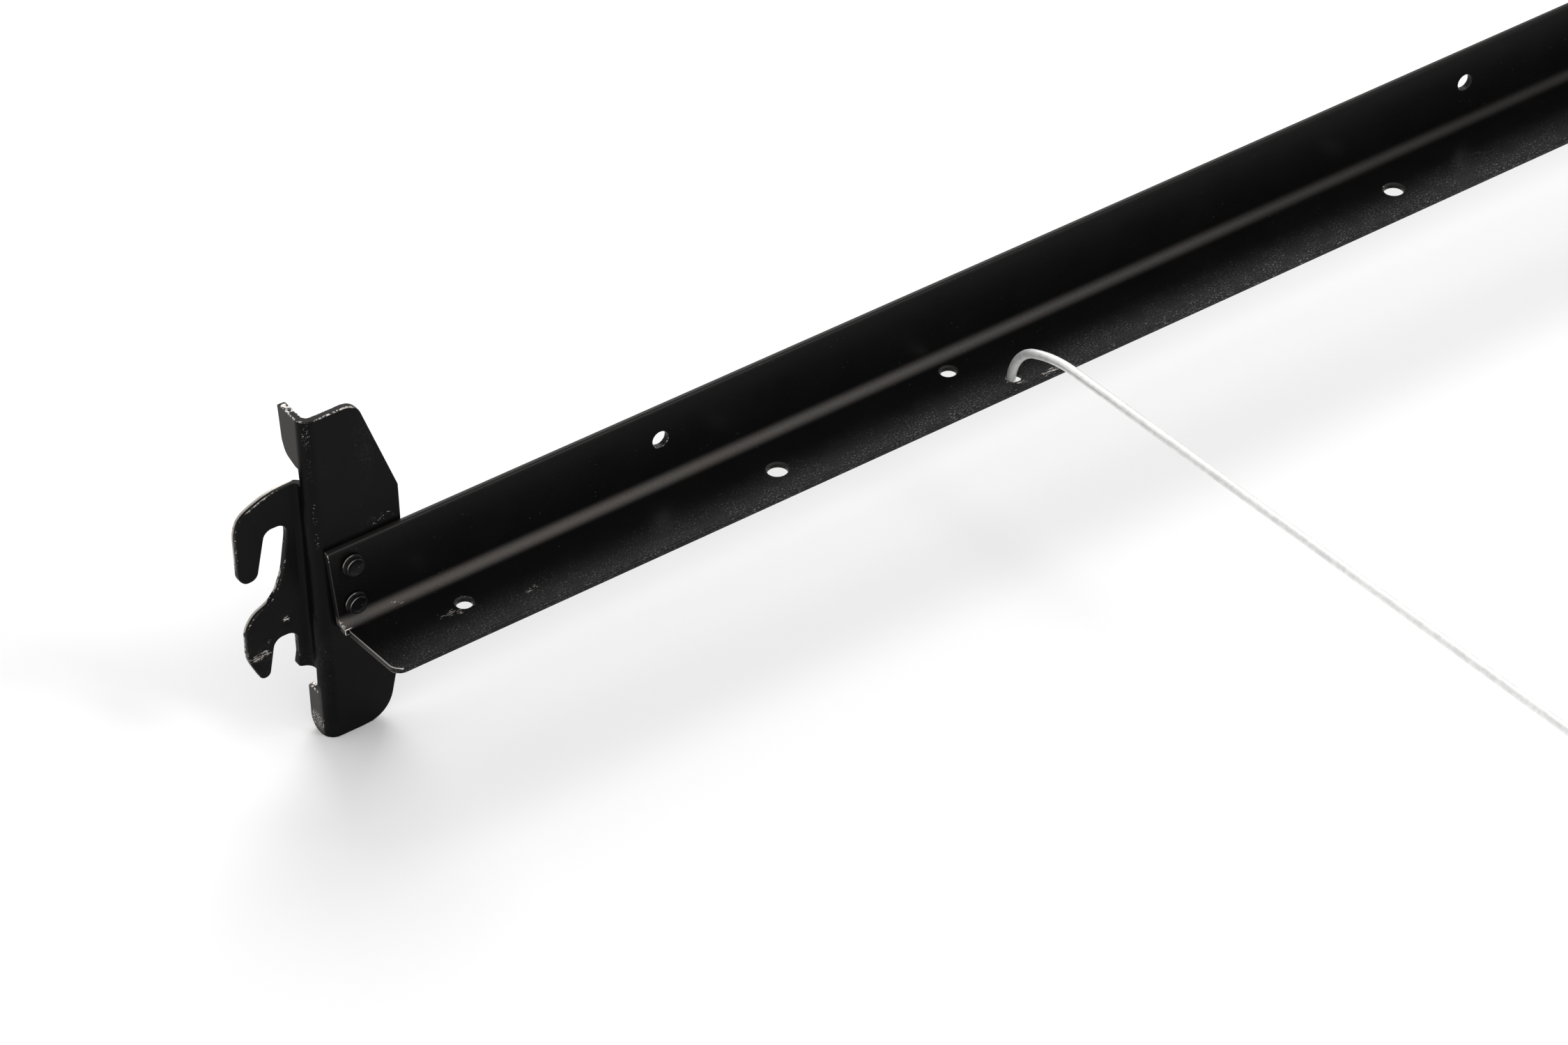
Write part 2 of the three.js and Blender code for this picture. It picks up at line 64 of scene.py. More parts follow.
ANGLE_T = 2.7 * MM  # thickness of the rail's legs
SEAT_GAP = 0.3 * MM  # between touching pieces
RAIL_EDGE_R = 0.3 * MM
PLATE_EDGE_R = 0.45 * MM

# ---- Where the rails lie: each has its own frame, origin at its left end, on the outer face of
# the upright leg, level with the ledge's underside. X runs along the rail, Z up. ----

rail_low, rail_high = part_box("side_rail_a")
RAIL_LENGTH = rail_high.x - rail_low.x
LEG = rail_high.y - rail_low.y
RAIL_CORNER = Vector((rail_low.x, rail_high.y, rail_low.z))
RAIL_FRAMES = {
    "a": Matrix.Translation(RAIL_CORNER),
    "b": Matrix.Rotation(math.pi, 4, "Z") @ Matrix.Translation(RAIL_CORNER),
}


def link(name, mesh):
    obj = bpy.data.objects.new(name, mesh)
    bpy.context.scene.collection.objects.link(obj)
    return obj


# ---- Node building ----

class Shader:
    """A short way to write node trees: each method adds a node and returns its output."""

    def __init__(self, name):
        self.material = bpy.data.materials.new(name)
        self.material.use_nodes = True
        self.tree = self.material.node_tree
        self.tree.nodes.clear()
        self.output = self.tree.nodes.new("ShaderNodeOutputMaterial")
        self.surface = self.tree.nodes.new("ShaderNodeBsdfPrincipled")
        self.tree.links.new(self.surface.outputs[0], self.output.inputs[0])

    def plug(self, value, socket):
        if isinstance(value, bpy.types.NodeSocket):
            self.tree.links.new(value, socket)
        else:
            socket.default_value = value

    def set(self, **values):
        for key, value in values.items():
            self.plug(value, self.surface.inputs[key.replace("_", " ")])

    def object_point(self):
        return self.tree.nodes.new("ShaderNodeTexCoord").outputs["Object"]

    def attribute(self, name):
        node = self.tree.nodes.new("ShaderNodeAttribute")
        node.attribute_name = name
        return node.outputs["Fac"]

    def stretched(self, vector, scale):
        node = self.tree.nodes.new("ShaderNodeVectorMath")
        node.operation = "MULTIPLY"
        self.plug(vector, node.inputs[0])
        node.inputs[1].default_value = scale
        return node.outputs[0]

    def split(self, vector):
        node = self.tree.nodes.new("ShaderNodeSeparateXYZ")
        self.plug(vector, node.inputs[0])
        return node.outputs

    def noise(self, vector, scale, detail=4.0, rough=0.55, distortion=0.0):
        node = self.tree.nodes.new("ShaderNodeTexNoise")
        self.plug(vector, node.inputs["Vector"])
        node.inputs["Scale"].default_value = scale
        node.inputs["Detail"].default_value = detail
        node.inputs["Roughness"].default_value = rough
        node.inputs["Distortion"].default_value = distortion
        return node.outputs["Fac"]

    def specks(self, vector, scale, size):
        """Small round spots at random places: 1 in a spot, 0 away from it."""
        node = self.tree.nodes.new("ShaderNodeTexVoronoi")
        self.plug(vector, node.inputs["Vector"])
        node.inputs["Scale"].default_value = scale
        return self.ramp(node.outputs["Distance"], size, size * 0.6)

    def ramp(self, value, low, high):
        """0 at low and 1 at high, clamped."""
        node = self.tree.nodes.new("ShaderNodeMapRange")
        node.interpolation_type = "SMOOTHSTEP"
        self.plug(value, node.inputs["Value"])
        flip = low > high
        node.inputs["From Min"].default_value = min(low, high)
        node.inputs["From Max"].default_value = max(low, high)
        node.inputs["To Min"].default_value = 1.0 if flip else 0.0
        node.inputs["To Max"].default_value = 0.0 if flip else 1.0
        return node.outputs[0]

    def math(self, operation, a, b=0.0):
        node = self.tree.nodes.new("ShaderNodeMath")
        node.operation = operation
        self.plug(a, node.inputs[0])
        self.plug(b, node.inputs[1])
        return node.outputs[0]

    def times(self, *values):
        result = values[0]
        for value in values[1:]:
            result = self.math("MULTIPLY", result, value)
        return result

    def most(self, *values):
        result = values[0]
        for value in values[1:]:
            result = self.math("MAXIMUM", result, value)
        return result

    def blend(self, factor, a, b):
        """Colour or number: a where factor is 0, b where it is 1."""
        node = self.tree.nodes.new("ShaderNodeMix")
        colour = isinstance(a, tuple) or isinstance(b, tuple)
        node.data_type = "RGBA" if colour else "FLOAT"
        inputs = [s for s in node.inputs if s.enabled]
        outputs = [s for s in node.outputs if s.enabled]
        self.plug(factor, inputs[0])
        for value, socket in ((a, inputs[1]), (b, inputs[2])):
            self.plug((*value, 1.0) if isinstance(value, tuple) else value, socket)
        return outputs[0]

    def bump(self, height, strength, distance):
        node = self.tree.nodes.new("ShaderNodeBump")
        self.plug(height, node.inputs["Height"])
        node.inputs["Strength"].default_value = strength
        node.inputs["Distance"].default_value = distance
        return node.outputs[0]

    def spot(self, axes, centre, radii):
        """1 in the middle of an ellipsoid, fading to 0 at its surface and outside it."""
        total = 0.0
        for axis, middle, radius in zip(axes, centre, radii):
            offset = self.math("DIVIDE", self.math("SUBTRACT", axis, middle), radius)
            square = self.math("MULTIPLY", offset, offset)
            total = self.math("ADD", square, total)
        return self.ramp(total, 1.0, 0.2)


# ---- Enamel: thin black paint over steel, rubbed through on edges and where parts touch, with painted highlights and a painted reflection on some faces ----

PAINT = (0.0022, 0.0021, 0.0021)
RAIL_GLOSS = 0.085
BRACKET_GLOSS = 0.055
RIVET_GLOSS = 0.12
STEEL_AND_GLINT = (0.46, 0.43, 0.40)  # where the paint is gone, and painted highlights on the rivets' rims and the hooks' cut edges
RUBBED_AND_SHEEN = (0.082, 0.075, 0.070)  # where it is polished thin, and painted highlight in the rail's fillet and on its top
HAZE_AND_SHEEN = (0.085, 0.083, 0.088)  # fine dull scuffing, and a painted reflection on the ledge's outer part
# light specks: real dust, and painted glints on the scuffed ledge
DUST_AND_GLINT = (0.32, 0.31, 0.30)


def enamel(name, gloss, point_of, wear_and_sheen_of):
    """Black paint. The function passed in gets the shader, the point in the piece's own frame, its
    coordinates and a fine noise, and gives how bare, how rubbed and how hazy it is there, each from
    0 to 1. These three also carry painted highlights, glints and a painted reflection."""
    s = Shader(name)
    point = point_of(s)
    axes = s.split(point)
    mottle = s.noise(point, 45.0, 3.0)
    fine = s.noise(point, 900.0, 5.0, 0.65)
    grain = s.noise(point, 1500.0, 3.0, 0.7, 0.4)
    peel = s.noise(point, 330.0, 3.0)
    bare_and_glint, rubbed_and_sheen, hazy_and_sheen = wear_and_sheen_of(s, point, axes, fine)
    spots = s.times(s.specks(point, 420.0, 0.1), s.ramp(s.noise(point, 70.0, 2.0), 0.53, 0.66))
    # painted glints: worm-like light specks on the scuffed ledge, where its bumps would catch light
    glint_worms = s.times(s.ramp(grain, 0.57, 0.65), s.ramp(s.noise(point, 120.0, 2.0), 0.36, 0.56), hazy_and_sheen)
    dust_and_glints = s.math("ADD", s.times(spots, s.math("ADD", 0.2, hazy_and_sheen)), s.times(glint_worms, 0.6))
    paint = s.blend(mottle, PAINT, tuple(1.9 * c for c in PAINT))
    # the blends below also lay down painted highlights, glints and a painted reflection
    colour = s.blend(s.times(rubbed_and_sheen, s.ramp(grain, -0.5, 0.7)), paint, RUBBED_AND_SHEEN)
    colour = s.blend(s.times(hazy_and_sheen, s.ramp(grain, 0.3, 0.7), 0.42), colour, HAZE_AND_SHEEN)
    colour = s.blend(dust_and_glints, colour, DUST_AND_GLINT)
    colour = s.blend(bare_and_glint, colour, STEEL_AND_GLINT)
    rough = s.blend(mottle, 0.24, 0.36)
    rough = s.blend(s.most(rubbed_and_sheen, hazy_and_sheen), rough, 0.5)
    rough = s.blend(bare_and_glint, rough, s.blend(fine, 0.25, 0.5))
    height = s.math("ADD", s.times(peel, 0.6), s.times(grain, s.math("ADD", 0.12, s.times(hazy_and_sheen, 0.4))))
    height = s.math("SUBTRACT", height, s.times(bare_and_glint, 0.6))
    s.set(Base_Color=colour, Roughness=rough, Metallic=s.times(bare_and_glint, 0.8))
    s.set(Normal=s.bump(height, 0.3, 0.00014))
    s.surface.inputs["Specular IOR Level"].default_value = gloss
    return s.material


def torn(s, fine, share):
    """Ragged cover of a surface: none of it at share 0, nearly all at share 1."""
    low = s.math("SUBTRACT", 0.66, s.times(share, 0.32))
    return s.times(s.ramp(s.math("SUBTRACT", fine, low), 0.0, 0.05), s.ramp(share, 0.02, 0.1))


def places(s, axes, spots):
    """The strongest of several soft ellipsoids, each (centre, radii, strength), in millimetres. A
    strength over 1 widens the part that is fully worn."""
    found = 0.0
    for centre, radii, strength in spots:
        inside = s.spot(axes, [v * MM for v in centre], [v * MM for v in radii])
        found = s.math("MAXIMUM", s.times(inside, strength), found)
    return found


# ---- Rail paint. Worn places are in the rail's own frame, in millimetres: centre, radii, strength ----

RAIL_SCRATCHES = (
    ((44, -21.5, 2.7), (11, 3.0, 2), 0.4),
    ((73, -27, 2.7), (6, 2.4, 2), 0.26),
    ((313, -36.4, 2.7), (8, 1.8, 2), 0.46),
    ((300, -35.5, 2.7), (4, 1.6, 2), 0.4),
    ((296, -33, 2.7), (3, 2.2, 2), 0.34),
    ((27, -5.3, 4.0), (4, 2.5, 3), 0.26),
    ((2.0, -4.6, 3.0), (3.4, 3, 4), 0.5),
)
RAIL_EDGE_WEAR = (
    ((4, -24, 1.5), (6, 22, 4), 1.6),
    ((12, -37, 2), (17, 4, 3), 1.6),
    ((60, -37.5, 2), (26, 2, 3), 0.5),
    ((3, -6, 2), (5, 6, 6), 0.75),
    ((1, -2, 37), (3, 4, 3), 0.55),
    ((315, -37.6, 2), (10, 2, 3), 0.7),
)
FILLET_NEAR = ANGLE_T + 1.0 * MM  # the rub and painted highlight in the inside fillet are full here
FILLET_FAR = ANGLE_T + 5.0 * MM  # and gone here
RUB_AND_SHEEN_FROM = 20 * MM  # along the rail, the fillet's rub and painted highlight fade from here
RUB_AND_SHEEN_TO = 700 * MM  # to here
HAZE_FROM = 40 * MM  # and the ledge's scuffing and painted reflection grow from here
HAZE_TO = 420 * MM  # to here


def rail_bare(s, point, axes, fine, edge):
    """Streaky scratches along the rail, and paint chipped off its edges."""
    streaks = s.noise(s.stretched(point, (0.22, 1.0, 1.0)), 1500.0, 4.0, 0.7)
    on_ledge = s.ramp(axes[2], 12 * MM, 9 * MM)
    scratched = s.times(torn(s, streaks, places(s, axes, RAIL_SCRATCHES)), on_ledge)
    patchy = s.ramp(s.noise(point, 22.0, 2.0), 0.5, 0.72)
    rim_share = s.math("ADD", places(s, axes, RAIL_EDGE_WEAR), s.times(patchy, 0.28))
    return s.most(scratched, s.times(edge, torn(s, fine, rim_share)))


def rail_rub_and_highlight(s, point, axes, edge):
    """A dull rub and a painted highlight in the inside fillet, strongest at the left end, a little painted
    highlight on top, and a little rub at edges.
    """
    # painted highlight: the inside fillet made lighter, partly a real rub
    fillet_highlight = s.times(
        s.ramp(axes[1], -FILLET_FAR, -FILLET_NEAR),
        s.ramp(axes[2], FILLET_FAR, FILLET_NEAR),
        s.ramp(axes[2], 0.6 * ANGLE_T, ANGLE_T),
    )
    fading = s.ramp(axes[0], RUB_AND_SHEEN_TO, RUB_AND_SHEEN_FROM)
    level = s.math("ADD", s.times(fading, 0.95), s.times(s.noise(point, 14.0, 3.0), 0.3))
    # painted highlight: the top of the upright leg made lighter
    top = s.times(s.ramp(axes[2], LEG - 1.3 * MM, LEG - 0.3 * MM), 0.12)
    return s.most(s.times(fillet_highlight, level), top, s.times(edge, 0.32), s.times(s.attribute("cut"), 0.1))


def rail_haze_and_reflection(s, point, axes):
    """Fine scuffing of the ledge with a painted reflection, both growing outward and away from the left end."""
    flat = s.ramp(axes[2], ANGLE_T + 0.5 * MM, ANGLE_T)
    # painted reflection: the ledge lighter towards its outer edge
    reflection_outward = s.ramp(axes[1], -17 * MM, -(LEG + 4 * MM))
    onward = s.math("ADD", 0.5, s.times(s.ramp(axes[0], HAZE_FROM, HAZE_TO), 0.5))
    uneven = s.math("ADD", 0.1, s.times(s.noise(point, 16.0, 3.0), 1.5))
    return s.math("ADD", s.times(flat, reflection_outward, onward, uneven), 0.02)


def rail_wear_and_sheen(s, point, axes, fine):
    edge = s.attribute("edge")
    bare_and_glint = rail_bare(s, point, axes, fine, edge)
    return bare_and_glint, rail_rub_and_highlight(s, point, axes, edge), rail_haze_and_reflection(s, point, axes)


# ---- Bracket paint. Worn places, and painted highlights on the hooks' cut edges, are in millimetres from the
# rail's end, as on a left end, and SIDE mirrors them at a right end ----

BRACKET_SCRATCHES = (
    ((-13.6, 8.3, 6.6), (2.2, 2, 2.2), 0.42),
    ((-26, 8.3, -5.4), (7, 2, 2.6), 0.36),
    ((-21, 8.3, -0.6), (2.4, 2, 2.6), 0.3),
    ((-2.4, 1.5, 92), (1.6, 4, 9), 0.22),
    ((-2.2, 1.3, 76), (1.2, 4, 8), 0.14),
    ((-1.6, 1.0, 56), (1.4, 3, 7), 0.17),
    ((-1.6, 1.0, 43), (1.2, 3, 5), 0.2),
    ((26, 0.3, 42), (7, 2, 3), 0.2),
    ((-4.5, 8, -47), (2, 6, 6), 0.4),
)
BRACKET_EDGE_WEAR_AND_SHEEN = (
    # the upper hook's top cut edges: real wear, and a painted highlight where they face up
    ((-21, 11, 66), (20, 3, 10), 1.5),
    ((-32, 11, 50), (5, 3, 16), 0.8),
    ((-27, 11, 13), (12, 3, 9), 0.9),
    ((-32, 11, -4), (5, 3, 14), 0.6),
    ((-14, 11, 24), (6, 3, 10), 0.5),
    ((-3, 9, -32), (4, 9, 2), 0.5),
    ((-3, 8, -52), (5, 9, 3), 0.5),
    ((-3, 9, 99), (5, 12, 3), 0.5),
    ((14, 1.8, 99), (18, 4, 3), 0.5),
    ((15, 1.8, -52), (6, 4, 3), 0.5),
)


def bracket_wear_and_sheen(s, point, axes, fine):
    edge = s.attribute("edge")
    slanted = s.noise(s.stretched(point, (0.35, 1.0, 1.0)), 1500.0, 4.0, 0.7)
    rim_share = s.math("ADD", places(s, axes, BRACKET_EDGE_WEAR_AND_SHEEN), 0.1)
    # the hooks' sheared faces: bare in places, partly real wear and partly painted highlight
    hook_backs = s.times(s.attribute("cut"), s.ramp(axes[1], 9.6 * MM, 10.4 * MM), 0.9)
    on_rim = s.times(s.most(edge, hook_backs), torn(s, fine, rim_share))
    bare_and_glint = s.most(torn(s, slanted, places(s, axes, BRACKET_SCRATCHES)), on_rim)
    lugs = s.times(s.ramp(axes[0], -4.0 * MM, -4.4 * MM), s.ramp(axes[0], -5.2 * MM, -4.7 * MM))
    low_lug = s.times(lugs, s.ramp(axes[2], -28 * MM, -31 * MM), 0.6)
    top_lug = s.times(lugs, s.ramp(axes[2], 74 * MM, 80 * MM), s.ramp(axes[1], 4 * MM, 6 * MM), 0.4)
    rubbed_and_sheen = s.most(low_lug, top_lug, s.times(edge, rim_share, 0.6))
    hazy_and_sheen = s.times(s.ramp(s.noise(point, 30.0, 3.0), 0.5, 0.85), 0.2)
    return bare_and_glint, rubbed_and_sheen, hazy_and_sheen


def bracket_enamel(end):
    def point_of(s):
        return s.stretched(s.object_point(), (SIDE[end], 1.0, 1.0))

    return enamel(f"bracket_enamel_{end}", BRACKET_GLOSS, point_of, bracket_wear_and_sheen)


# ---- Rivet paint: a painted highlight, bright bare crescents on the rims' upper left ----

def rivet_rim_highlight(s, point, axes, fine):
    rim_highlight = s.attribute("rim_highlight")
    toward = s.math("SUBTRACT", s.times(axes[2], 0.75), s.times(axes[0], 0.66))
    # painted highlight: a bright bare crescent on the upper left of each rim
    highlight_crescent = s.ramp(toward, 2.6 * MM, 4.2 * MM)
    bare_and_glint = s.times(rim_highlight, rim_highlight, highlight_crescent, s.ramp(fine, 0.3, 0.5))
    return bare_and_glint, s.times(rim_highlight, 0.1), 0.02


# ---- Zinc plate of the wires: drawn lines, faint spangle and a few dull stains ----

def zinc():
    s = Shader("zinc_plate")
    point = s.object_point()
    cloudy = s.noise(point, 70.0, 3.0)
    fine = s.noise(point, 1400.0, 4.0, 0.6)
    drawn = s.noise(s.stretched(point, (1.0, 0.04, 1.0)), 2200.0, 2.0, 0.6)
    spangle = s.noise(point, 320.0, 3.0, 0.5, 0.6)
    stain = s.times(s.ramp(s.noise(point, 26.0, 3.0), 0.55, 0.75), s.ramp(fine, 0.4, 0.7), 0.35)
    colour = s.blend(s.ramp(spangle, 0.3, 0.7), (0.73, 0.73, 0.73), (0.87, 0.87, 0.85))
    colour = s.blend(stain, colour, (0.52, 0.50, 0.47))
    rough = s.math("ADD", s.blend(cloudy, 0.34, 0.46), s.times(stain, 0.4))
    height = s.math("ADD", s.times(drawn, 0.5), s.times(fine, 0.5))
    s.set(Base_Color=colour, Roughness=rough, Normal=s.bump(height, 0.15, 0.00008))
    s.surface.inputs["Metallic"].default_value = 0.55
    return s.material


# ---- Rails and brackets: the CAD solids with their edges rounded ----

STEEP = 0.7  # a normal's share along an axis, past which a face counts as square to it
BEND_ZONE = 8.5 * MM  # either side of the rail's end
LUG_FROM = 6.5 * MM  # behind the rail
EDGE_ANGLE = math.radians(40)
FLAT_ANGLE = math.radians(0.6)
SMALL_FACE = 0.4 * MM ** 2


def rail_cut(face):
    return abs(face.normal.x) > STEEP


def bracket_cut(face):
    """Whether a bracket face is a sheared edge of the plate, and not one of its two sides."""
    if abs(face.normal.z) > 0.5:
        return True
    middle = face.calc_center_median()
    on_bend = abs(middle.x) < BEND_ZONE
    on_lug_edge = middle.y > LUG_FROM and abs(face.normal.x) < STEEP
    return abs(face.normal.y) < STEEP and (not on_bend or on_lug_edge)


def is_sharp(edge):
    """Whether an edge is to be rounded: not the rings of the small burrs and dimples."""
    if len(edge.link_faces) != 2 or edge.calc_face_angle(0.0) <= EDGE_ANGLE:
        return False
    return min(face.calc_area() for face in edge.link_faces) > SMALL_FACE


def stand_in(piece, node):
    """Lets a piece ride its node's body and stand in for the node."""
    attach(piece, BODIES[node])
    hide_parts(node)


def rounded(node, name, place, radius, is_cut, material):
    """A copy of a CAD node whose sharp edges are rounded. Its faces carry edge = 1 there, and cut = 1
    where the plate was sheared."""
    mesh = bpy.data.meshes.new(name)
    work = bmesh.new()
    work.from_mesh(NODES[node].data)
    work.transform(place.inverted())
    bmesh.ops.remove_doubles(work, verts=work.verts, dist=0.002 * MM)
    bmesh.ops.dissolve_limit(work, angle_limit=FLAT_ANGLE, verts=work.verts, edges=work.edges)
    rounding = work.faces.layers.float.new("edge")
    made = bmesh.ops.bevel(
        work, geom=[edge for edge in work.edges if is_sharp(edge)], affect="EDGES", offset=radius,
        offset_type="OFFSET", segments=3, profile=0.5, clamp_overlap=False, loop_slide=False,
    )
    for face in made["faces"]:
        face[rounding] = 1.0
    cut = work.faces.layers.float.new("cut")
    for face in work.faces:
        face.smooth = True
        face[cut] = float(is_cut(face))
    bmesh.ops.triangulate(work, faces=[f for f in work.faces if len(f.verts) > 4])
    work.to_mesh(mesh)
    work.free()
    mesh.materials.append(material)
    piece = link(name, mesh)
    normals = piece.modifiers.new("weighted normals", "WEIGHTED_NORMAL")
    normals.mode = "FACE_AREA"
    normals.weight = 50
    piece.matrix_world = place
    stand_in(piece, node)


# ---- Rivets ----

RIVET_SHANK_R = 2.5 * MM
RIVET_TAIL_R = 4.0 * MM
RIVET_TAIL_H = 1.6 * MM
RIVET_FLANGE_H = 0.95 * MM
RIVET_NECK = 0.85  # the raised middle and its dish, as shares of the head's radius
RIVET_DISH = 0.64
RIVET_LIP_R = 0.36 * MM  # edge rounding: of the raised middle, the base and the tail
RIVET_FLANGE_R = 0.4 * MM
RIVET_TAIL_EDGE = 0.3 * MM
RIVET_SIDES = 48


def lathe(mesh_name, profile, sides, rim_highlights):
    """Turns a profile of (radius, out) about -Y. The last argument gives each ring's share of the painted
    highlight on the rims.
    """
    work = bmesh.new()
    layer = work.verts.layers.float.new("rim_highlight")
    rings = []
    for (radius, out), rim_highlight in zip(profile, rim_highlights):
        count = 1 if radius == 0 else sides
        ring = []
        for i in range(count):
            angle = 2 * math.pi * i / sides
            vert = work.verts.new((radius * math.cos(angle), -out, radius * math.sin(angle)))
            vert[layer] = rim_highlight
            ring.append(vert)
        rings.append(ring)
    for near, far in zip(rings, rings[1:]):
        for i in range(sides):
            j = (i + 1) % sides
            corners = [near[i % len(near)], near[j % len(near)], far[j % len(far)], far[i % len(far)]]
            corners = [v for k, v in enumerate(corners) if v not in corners[:k]]
            face = work.faces.new(corners)
            face.smooth = True
    bmesh.ops.recalc_face_normals(work, faces=work.faces)
    mesh = bpy.data.meshes.new(mesh_name)
    work.to_mesh(mesh)
    work.free()
    return mesh


def arc(centre_radius, centre_out, radius, start, stop, steps=5):
    """Points of (radius, out) on a quarter round, angles in degrees from the plane of the head."""
    points = []
    for i in range(steps + 1):
        angle = math.radians(start + (stop - start) * i / steps)
        points.append((centre_radius + radius * math.cos(angle), centre_out + radius * math.sin(angle)))
    return points


def rivet_mesh(name, top, end, head):
    """The rivet, from its top (out in front) to its tail's end: a wide base, a raised rim round a
    dish, a shank and a clenched tail. head is the head's radius."""
    seat = ANGLE_T + SEAT_GAP
    flange_top = seat + RIVET_FLANGE_H
    neck = head * RIVET_NECK
    dish = head * RIVET_DISH
    lip = RIVET_LIP_R
    flange = RIVET_FLANGE_R
    tail = RIVET_TAIL_R
    tail_seat = end + RIVET_TAIL_H
    tail_edge = tail - RIVET_TAIL_EDGE
    profile = [(0.0, top - 0.62 * MM), (dish * 0.7, top - 0.6 * MM), (dish, top - 0.45 * MM)]
    # each ring's share of the painted highlight on the rims
    rim_highlights = [0.0, 0.0, 0.1]
    profile += arc(dish + 0.1 * MM + lip, top - lip, lip, 160, 90)
    rim_highlights += [0.1, 0.3, 0.5, 0.3, 0.1, 0.0]
    profile += arc(neck - lip, top - lip, lip, 90, 0)
    rim_highlights += [0.0, 0.8, 1.0, 0.9, 0.3, 0.0]
    profile += [(neck + 0.05 * MM, flange_top + 0.15 * MM), (neck + 0.2 * MM, flange_top)]
    rim_highlights += [0.0, 0.0]
    profile += arc(head - flange, flange_top - flange, flange, 90, 0)
    rim_highlights += [0.0, 0.4, 0.8, 0.8, 0.3, 0.0]
    profile += [(head, seat), (RIVET_SHANK_R, seat), (RIVET_SHANK_R, tail_seat), (tail_edge, tail_seat)]
    rim_highlights += [0.0] * 4
    profile += arc(tail_edge, tail_seat - RIVET_TAIL_EDGE, RIVET_TAIL_EDGE, 0, -50, 3)
    profile += [(tail * 0.7, end + 0.3 * MM), (tail * 0.35, end + 0.05 * MM), (0.0, end)]
    rim_highlights += [0.2] * 7
    return lathe(name, profile, RIVET_SIDES, rim_highlights)


def rivet(suffix, end, level):
    node = f"rivet_{suffix}_{end}_{level}"
    place = RAIL_FRAMES[suffix]
    corners = [place.inverted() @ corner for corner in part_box(node)]
    low = Vector(map(min, *corners))
    high = Vector(map(max, *corners))
    mesh = rivet_mesh(node, -low.y, -high.y, (high.x - low.x) / 2)
    mesh.materials.append(rivet_paint)
    piece = link(f"rivet_head_{suffix}_{end}_{level}", mesh)
    piece.matrix_world = place @ Matrix.Translation(((low.x + high.x) / 2, 0, (low.z + high.z) / 2))
    stand_in(piece, node)


# ---- Cross wires ----

WIRE_R = 1.9 * MM
WIRE_TAIL = 6.5 * MM  # hangs below the pivot's height
WIRE_RISER = 0.4 * MM
OVERBEND = math.radians(4)  # past square
BEND_R = 17 * MM  # of the middle line
EASE_R = 62 * MM  # where the bend eases into the long run
EASE = math.radians(22)
ROLL = math.radians(10)  # lean of the hook's plane
WIRE_SIDES = 32
WIRE_CHAMFER = ((0.0, 0.6 * MM), (0.18 * MM, 0.18 * MM), (0.6 * MM, 0.0))  # (back from the tip, in)
BEND_STEPS = 28
EASE_STEPS = 14
RUN_STEPS = 60


def hook_line():
    """The hook's middle line in its own plane, tip first, as (along, up, heading)."""
    sweep = math.pi / 2 + OVERBEND
    below = (WIRE_TAIL, WIRE_TAIL * 0.3, -WIRE_RISER)
    line = [(-d * math.cos(sweep), -d * math.sin(sweep), sweep) for d in below]
    for turn, radius, steps in ((sweep - EASE, BEND_R, BEND_STEPS), (EASE, EASE_R, EASE_STEPS)):
        for _ in range(steps):
            x, z, heading = line[-1]
            step = turn / steps
            chord = 2 * radius * math.sin(step / 2)
            way = heading - step / 2
            line.append((x + chord * math.cos(way), z + chord * math.sin(way), heading - step))
    return line


def chamfered(tip, inward):
    """Stations (x, z, heading, radius) of a wire's end, tip first. inward is 1 at its first end."""
    x, z, heading = tip
    return [
        (x + inward * back * math.cos(heading), z + inward * back * math.sin(heading), heading, WIRE_R - cut)
        for back, cut in WIRE_CHAMFER
    ]


def wire_mesh(name, span):
    near = hook_line()
    far = [(span - x, z, -heading) for x, z, heading in reversed(near)]
    start, height, _ = near[-1]
    length = far[0][0] - start
    run = [(start + length * i / RUN_STEPS, height, 0.0) for i in range(1, RUN_STEPS)]
    body = [(*point, WIRE_R) for point in near[1:] + run + far[:-1]]
    stations = chamfered(near[0], 1) + body + chamfered(far[-1], -1)[::-1]
    work = bmesh.new()
    rings = []
    for x, z, heading, radius in stations:
        ring = []
        for i in range(WIRE_SIDES):
            angle = 2 * math.pi * i / WIRE_SIDES
            side = radius * math.cos(angle)
            up = radius * math.sin(angle)
            ring.append(work.verts.new((x - up * math.sin(heading), side, z + up * math.cos(heading))))
        rings.append(ring)
    for near_ring, far_ring in zip(rings, rings[1:]):
        for i in range(WIRE_SIDES):
            j = (i + 1) % WIRE_SIDES
            work.faces.new((near_ring[i], near_ring[j], far_ring[j], far_ring[i]))
    work.faces.new(rings[0])
    work.faces.new(rings[-1])
    for face in work.faces:
        face.smooth = len(face.verts) == 4
    bmesh.ops.recalc_face_normals(work, faces=work.faces)
    mesh = bpy.data.meshes.new(name)
    work.to_mesh(mesh)
    work.free()
    return mesh


def wire(which, joint, run):
    """A wire from its joint's pivot on rail a, along run to its pivot on rail b."""
    node = f"cross_wire_{which}"
    piece = link(f"wire_{which}", wire_mesh(node, run.length))
    piece.data.materials.append(wire_zinc)
    turn = Matrix.Rotation(math.atan2(run.y, run.x), 4, "Z") @ Matrix.Rotation(-ROLL, 4, "X")
    piece.matrix_world = Matrix.Translation(JOINTS[joint]["pos_m"]) @ turn
    stand_in(piece, node)


# ---- The pieces ----

rail_paint = enamel("rail_enamel", RAIL_GLOSS, Shader.object_point, rail_wear_and_sheen)
bracket_paint = {end: bracket_enamel(end) for end in ENDS}
rivet_paint = enamel("rivet_enamel", RIVET_GLOSS, Shader.object_point, rivet_rim_highlight)
wire_zinc = zinc()

